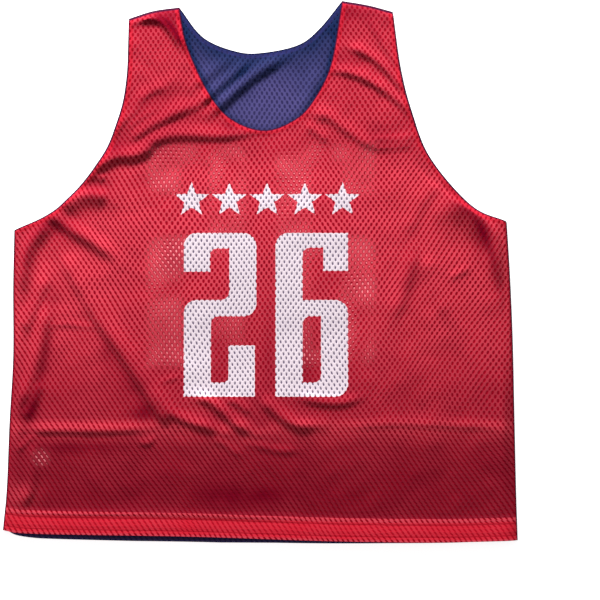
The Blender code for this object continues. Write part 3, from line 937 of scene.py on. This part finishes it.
def six(x, y):
    """A stem with a short arm at its top, over a closed bowl."""
    w, h = FIGURE_WIDTH, FIGURE_HEIGHT
    arm = cut_out(
        box(x, y, 0, w, 60, h, top_left=CORNER),
        box(x, y, STEM + 1, INNER + 3, 50, h - BAR + 1, top_left=9.5),
        box(x, y, STEM + 12, w + OVER, 50, h - ARM + 1),
    )
    bowl = cut_out(
        box(x, y, 0, w, 0, WAIST_HIGH, top_right=CORNER, low_right=CORNER),
        box(x, y, STEM + 1, INNER, BAR - 2, WAIST_LOW, top_left=10.0, low_right=9.0),
    )
    return arm.min(bowl)


def number(x, y, left, low, width, height):
    """26 in a frame given by its lower left corner and its size, whose width may be below 0 for a
    number that reads from the other side."""
    x = (x - left) * ((2 * FIGURE_WIDTH + FIGURE_GAP) / width)
    y = (y - low) * (FIGURE_HEIGHT / height)
    return two(x, y).min(six(x - (FIGURE_WIDTH + FIGURE_GAP), y))


# %% [markdown]
# ## A row of stars
#
# Above the number is a plain row of stars. A five-pointed star folds ten times onto one edge: the
# angle is folded into a tenth of a turn, and what is left is the distance to a straight line from
# a tip to an inner corner.

# %% Stars
STAR_RADIUS, STAR_STEP, STARS = 23.0, 49.0, 5  # mm, mm, count
STARS_AT = (8.0, 94.0)  # mm, the middle of the row
STAR_WAIST = 0.42  # of the radius, where a star's inner corners are


def star_row(x, y):
    """|angle| folded by fifths of a turn, then (r cos a - R) nx + r sin a ny, with (nx, ny) at
    right angles to the edge from a tip at R to an inner corner."""
    x, y = x - STARS_AT[0], y - STARS_AT[1]
    beyond = abs(x) - STARS * STAR_STEP / 2
    x = ((x / STAR_STEP + 0.5).fraction() - 0.5) * STAR_STEP
    fifth = 2 * np.pi / 5
    angle = abs((x.math("ARCTAN2", x, y) / fifth + 0.5).fraction() - 0.5) * fifth
    reach = (x * x + y * y).root()
    inner = STAR_WAIST * STAR_RADIUS * np.array([np.cos(fifth / 2), np.sin(fifth / 2)])
    normal = np.array([inner[1], STAR_RADIUS - inner[0]])
    nx, ny = (float(n) for n in normal / np.linalg.norm(normal))
    edge = (reach * angle.cosine() - STAR_RADIUS) * nx + reach * angle.sine() * ny
    return edge.max(beyond)


# %% [markdown]
# ## The knit
#
# The mesh has rows of upright slits, each row half a step beside the next. Threads cross the slits,
# more so where the cloth hangs loose and the slits close and lean over. The yarn is painted palest
# halfway between them, a painted sheen, and darker beside them, a painted shade. Along turned edges
# and in the hem the cloth is double: no air, and a fuller colour.

# %% The knitted mesh
HOLE_STEP, ROW_STEP = 6.9, 5.0  # mm along a row, and from row to row
HOLE_HALF_WIDTH, HOLE_HALF_HEIGHT = 1.05, 1.9  # mm
HOLE_RIM = (0.8, 1.25)  # hole radii between which a hole goes over into yarn
YARN_SHEEN_AND_SHADE = (1.0, 2.2)  # hole radii between which the yarn goes from its low colour, painted shade, to its high one, a painted sheen
THREADS = (0.90, 0.94)  # part of a hole that its own threads cross, taut and slack
FINE_THREADS = (0.90, 0.95)  # the same in the finer knit of the inner back
MOTTLE_SCALE, PATCH_SCALE = 25.0, 9.0  # for each metre: small unevenness of the dye, and large
BUMP_STRENGTH, BUMP_HEIGHT = 0.7, 0.0004  # the second in metres
INK_CREEP = 0.5  # mm that the print's edge creeps along the yarn for each hole radius
INK = ((0.70, 0.59, 0.655, 1), (0.83, 0.71, 0.775, 1))  # uneven white
# a hole in the print: its threads, painted in the hole's shade
INKED_HOLE = (0.16, 0.12, 0.19, 1)
SEEN_PRINT_PAINTED_LIT = (1.0, 0.27, 0.31, 1)  # white print on the back seen through two holes, painted lit as if light came through the thin cloth
SEEN_DEEP_PAINTED_SHADE = (0.11, 0.0005, 0.008, 1)  # painted deep shade where two holes lie over each other and nothing pale is below
TURNED_EDGE = 6.4  # mm of cloth turned under at the neck and the armholes
SEAM_BAND = 4.0  # mm of seam allowance behind a seam
PIPING_AND_SHADE_FADE = (0.5, 2.4)  # mm from the very edge over which the other shell's colour and a painted edge shadow fade out
SHOULDER_SHADE = 2.0  # mm more of that at the shoulder seams, painted shade on the roll that faces the lamp
STITCH_LINE = 0.9  # mm to either side of a row of stitches that is painted in shade


def holes(tree, knit="knit"):
    """The distance from the middle of the nearest hole, in hole radii: the map is divided into
    cells, odd rows are shifted by half a cell, each cell is skewed by the lean that the mesh
    carries, and the root is taken of the sum of its own coordinates' squares."""
    u, v = map_of(tree, knit)
    row = v / ROW_STEP
    shift = (row.floor() * 0.5).fraction()
    up = (row.fraction() - 0.5) * ROW_STEP
    across = ((u / HOLE_STEP + shift).fraction() - 0.5) * HOLE_STEP + up * attribute(tree, "lean")
    return ((across * across) / HOLE_HALF_WIDTH**2 + (up * up) / HOLE_HALF_HEIGHT**2).root()


def mesh_cloth(name, dyes, ink=None, ink_side=1.0, threads=THREADS, seen_through=None):
    """Yarn with holes, in the dyes given. The yarn goes from its low colour beside a hole, painted
    shade, to its high one between holes, a painted sheen, and to its painted shade colour where the
    painted shading is low. A hole is dark, its threads painted in the hole's shade, deeper where the
    painted shading is low, and open but for the part that threads cross. Seam, turned edge and hem
    have dyes of their own and no open holes, and the hem's two rows of stitches are painted in shade.
    Ink is a function of the cut that gives the signed distance to the print, which lies on the upper
    side, or on the lower one if ink_side is 0. Where holes of two layers lie over each other they are
    painted in deep shade, and a print that is seen through them, given in the same way, is painted
    lit, as if light came through the thin cloth."""
    material, tree, surface = principled(name, {"Roughness": 0.8, "Specular IOR Level": 0.03})
    far = holes(tree)
    opening, seam, hem = (attribute(tree, label) for label in ("opening", "seam", "hem"))
    turned = 1 - rise(opening, TURNED_EDGE - 0.5, TURNED_EDGE + 0.5)
    seamed = 1 - rise(seam, SEAM_BAND - 1.5, SEAM_BAND + 0.5)
    hemmed = 1 - rise(hem, HEM_DEPTH - 0.5, HEM_DEPTH + 0.5)
    backed = turned.max(hemmed).max(seamed)
    upper, lower = STITCH_LINES
    full = rise(hem, 1.5, 3.5) * (1 - rise(hem, upper + 1, upper + 4))  # the hem's full colour
    smooth = full * rise(hem, lower, lower + 3)  # where stitches pull it smooth
    hole = (1 - rise(far, *HOLE_RIM)) * (1 - full * 0.25 - smooth * 0.35)

    place = add(tree, "TexCoord", output=3)
    mottle, patches = (
        add(tree, "TexNoise", inputs={"Vector": place, "Scale": scale, "Detail": detail})
        for scale, detail in ((MOTTLE_SCALE, 3.0), (PATCH_SCALE, 2.0))
    )
    pale = rise(patches, 0.35, 0.65)
    # a painted sheen on the yarn between holes, and painted shade beside a hole
    sheened_yarn = mix(rise(far, *YARN_SHEEN_AND_SHADE), dyes["low"], dyes["high"])
    # painted shading, made uneven by the dye's random mottle; where it is low the yarn is painted in shade
    painted_shading = attribute(tree, "painted_shading") + (mottle - 0.5) * 0.3
    yarn = mix(painted_shading, dyes["shade"], sheened_yarn)
    yarn = mix(seamed * 0.7, yarn, dyes["seam"])
    yarn = mix(turned * 0.65, yarn, dyes["edge"])
    yarn = mix(hemmed, yarn, mix(full * (1 - mottle * 0.6), sheened_yarn, dyes["hem"]))
    # painted shade along the hem's two rows of stitches
    for line in STITCH_LINES:
        pulled = 1 - rise(abs(hem - line), 0.3 * STITCH_LINE, 1.5 * STITCH_LINE)
        yarn = mix(pulled * 0.6, yarn, dyes["backed hole"])
    # an open hole is painted in shade, deeper where the painted shading is low
    air = mix(painted_shading * 1.4, dyes["deep hole"], mix(pale * 0.5, dyes["hole"], dyes["low"]))
    inside = mix(backed, air, dyes["backed hole"])
    clear = 1 - backed
    if seen_through:
        # painted deep shade where holes of two layers lie over each other, and the print below painted lit,
        # as if light came through the thin cloth
        both = (1 - rise(holes(tree, "knit below"), 1.1, 2.3)) * clear
        near = 1 - rise(seen_through(*map_of(tree, "cut")), -9.0, 3.0)
        shown = both * near * (pale * 0.5 + 0.5)
        inside = mix(both * 0.4, inside, SEEN_DEEP_PAINTED_SHADE)
        inside = mix(shown, inside, SEEN_PRINT_PAINTED_LIT)
        clear = clear * (1 - shown)
    if ink:
        up = attribute(tree, "up")
        creep = (far.min(2.4) - 1.7) * INK_CREEP
        printed = 1 - rise(ink(*map_of(tree, "cut")) - creep, -0.3, 0.3)
        printed = printed * (up if ink_side else 1 - up)
        yarn = mix(printed, yarn, mix(mottle, *INK))
        inside = mix(printed, inside, INKED_HOLE)
    colour = mix(hole, yarn, inside)
    # a dark line along the edges: the other shell's colour with a painted edge shadow, wider at the
    # shoulders as painted shade on the roll that faces the lamp
    rim = opening.min(seam).min(attribute(tree, "shoulder") - SHOULDER_SHADE)
    colour = mix(1 - rise(rim, *PIPING_AND_SHADE_FADE), colour, dyes["piping_and_edge_shade"])
    alpha = 1 - hole * clear * (1 - between(attribute(tree, "slack"), threads))
    relief = {"Strength": BUMP_STRENGTH, "Distance": BUMP_HEIGHT, "Height": rise(far, 0.9, 2.0)}
    bump = add(tree, "Bump", inputs=relief)
    for socket, wire in {"Base Color": colour, "Alpha": alpha, "Normal": bump}.items():
        tree.links.new(wire.end, surface.inputs[socket])
    return material


# the dyes of each part of the cloth, in linear red, green, blue and alpha. The shade colour is
# painted shade; the low and high colours paint shade beside a hole and a sheen between holes;
# the hole colours paint the shade in a hole, deepest where the painted shading is low, and the
# backed hole colour also paints shade along the hem's stitches; the darkest colour at an edge is
# the other shell's colour with a painted edge shadow
RED = {
    "shade": (0.17, 0.0003, 0.012, 1),
    "low": (0.44, 0.004, 0.020, 1),
    "high": (0.68, 0.062, 0.092, 1),
    "edge": (0.54, 0.012, 0.030, 1),
    "seam": (0.34, 0.004, 0.016, 1),
    "hem": (0.58, 0.008, 0.024, 1),
    "hole": (0.30, 0.0008, 0.009, 1),
    "deep hole": (0.24, 0.0005, 0.008, 1),
    "backed hole": (0.27, 0.0008, 0.008, 1),
    "piping_and_edge_shade": (0.045, 0.004, 0.022, 1),
}
NAVY = {
    "shade": (0.015, 0.015, 0.07, 1),
    "low": (0.022, 0.020, 0.095, 1),
    "high": (0.046, 0.038, 0.15, 1),
    "edge": (0.025, 0.025, 0.12, 1),
    "seam": (0.020, 0.020, 0.10, 1),
    "hem": (0.05, 0.022, 0.075, 1),
    "hole": (0.015, 0.010, 0.045, 1),
    "deep hole": (0.003, 0.005, 0.028, 1),
    "backed hole": (0.015, 0.010, 0.045, 1),
    "piping_and_edge_shade": (0.004, 0.008, 0.035, 1),
}
# the navy inside the back, with a bluer painted shade
INNER_NAVY = NAVY | {
    "shade": (0.009, 0.019, 0.072, 1),
    "low": (0.041, 0.035, 0.118, 1),
    "high": (0.073, 0.062, 0.192, 1),
    "hole": (0.026, 0.021, 0.085, 1),
    "backed hole": (0.020, 0.018, 0.075, 1),
}


def front_print(x, y):
    """The number of the front, and the stars above it."""
    return number(x, y, -100.0, -161.0, 213.0, 212.0).min(star_row(x, y))


def inner_print(x, y):
    """The larger number of the back, on the inside, so it reads from above."""
    return number(x, y, -150.0, -124.0, 300.0, 292.0)


def pale_below(x, y):
    """What is painted pale through the holes, as if lit through the thin cloth: that number, and a round
    spot low on the left.
    """
    off_x, off_y = x + 285, y + 240
    return inner_print(x, y).min((off_x * off_x + off_y * off_y).root() - 12)


def back_print(x, y):
    """The same on the outside of the back, so it reads from below."""
    return number(x, y, 150.0, -124.0, -300.0, 292.0)


red_front.data.materials.append(mesh_cloth("red_mesh_front", RED, front_print, seen_through=pale_below))
navy_front.data.materials.append(mesh_cloth("navy_mesh_front", NAVY))
navy_back.data.materials.append(mesh_cloth("navy_mesh_back", INNER_NAVY, inner_print, threads=FINE_THREADS))
red_back.data.materials.append(mesh_cloth("red_mesh_back", RED, back_print, ink_side=0.0))
print("nodes in the front's finish:", len(red_front.data.materials[0].node_tree.nodes))

# %% [markdown]
# ## Handing over
#
# Each sheet stands for the solid of the same panel, which is hidden, and rides on the one body.

# %% Sheets and bodies
FRONT_AREA, BACK_AREA = 0.356, 0.375  # square metres
PANELS = {
    "front_red_panel": (red_front, "red_mesh", "navy_front", FRONT_AREA),
    "front_navy_panel": (navy_front, "navy_mesh", "navy_back", FRONT_AREA),
    "back_navy_panel": (navy_back, "navy_mesh", "red_back", BACK_AREA),
    "back_red_panel": (red_back, "red_mesh", "table", BACK_AREA),
}
for node, (panel, slot, below, area) in PANELS.items():
    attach(panel, "root")
    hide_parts(node)
